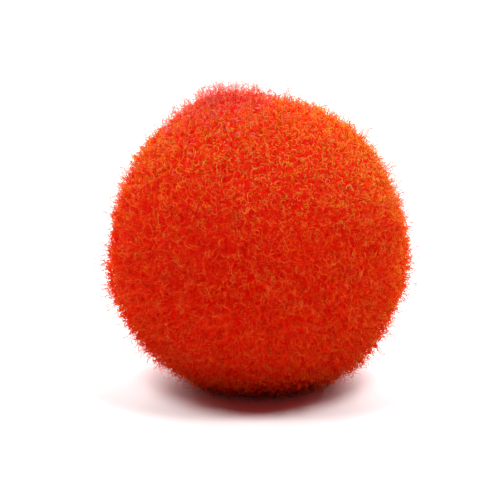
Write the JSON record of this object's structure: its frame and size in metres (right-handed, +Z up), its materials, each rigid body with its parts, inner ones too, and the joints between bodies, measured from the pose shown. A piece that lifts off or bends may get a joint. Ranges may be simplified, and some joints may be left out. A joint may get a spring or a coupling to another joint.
{
  "type": "yarn pom pom",
  "caption": "Round fluffy ball of cut yarn locks, trimmed a little unevenly, resting on a small flat spot.",
  "frame": {"origin": "middle of the base of the ball's box, on the surface that it rests on", "axes": "+Z up out of the surface, -Y towards the viewer of the picture, +X to the viewer's right"},
  "size_m": [0.0378, 0.0384, 0.037],
  "materials": {
    "yarn": "soft fuzzy cut pile"
  },
  "bodies": {
    "root": {"pom_pom": "yarn"}
  },
  "joints": []
}
